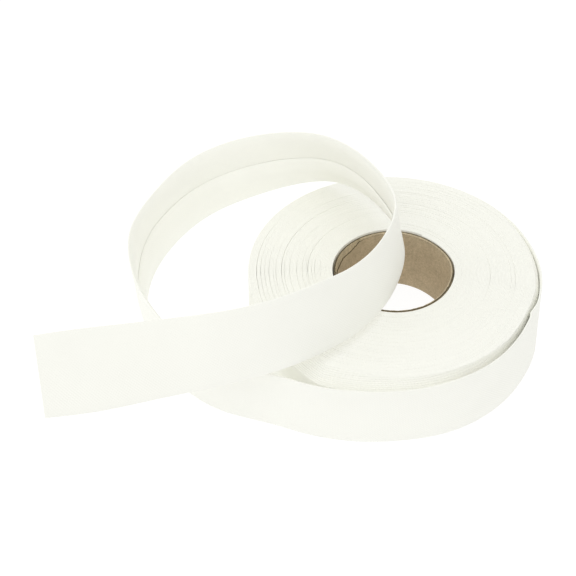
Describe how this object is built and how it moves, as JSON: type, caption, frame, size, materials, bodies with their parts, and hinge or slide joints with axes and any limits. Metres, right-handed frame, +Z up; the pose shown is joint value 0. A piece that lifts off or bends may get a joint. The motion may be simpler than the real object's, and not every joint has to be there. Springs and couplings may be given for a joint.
{
  "type": "roll of bias tape",
  "caption": "Small roll of off-white folded cotton bias tape lying flat on its card core, with the loose end looped over its top.",
  "frame": {"origin": "middle of the whole part's box, on the surface that it lies on", "axes": "+Z up along the roll's axis; +X towards the roll, away from the tape's free end; the picture's viewer is on the -Y side"},
  "size_m": [0.1686, 0.1228, 0.0564],
  "materials": {
    "core_board": "matte grey-brown board",
    "tape": "plain woven off-white cotton, pressed"
  },
  "bodies": {
    "root": {"card_core": "core_board", "wound_roll": "tape", "loose_end": "tape"}
  },
  "joints": []
}
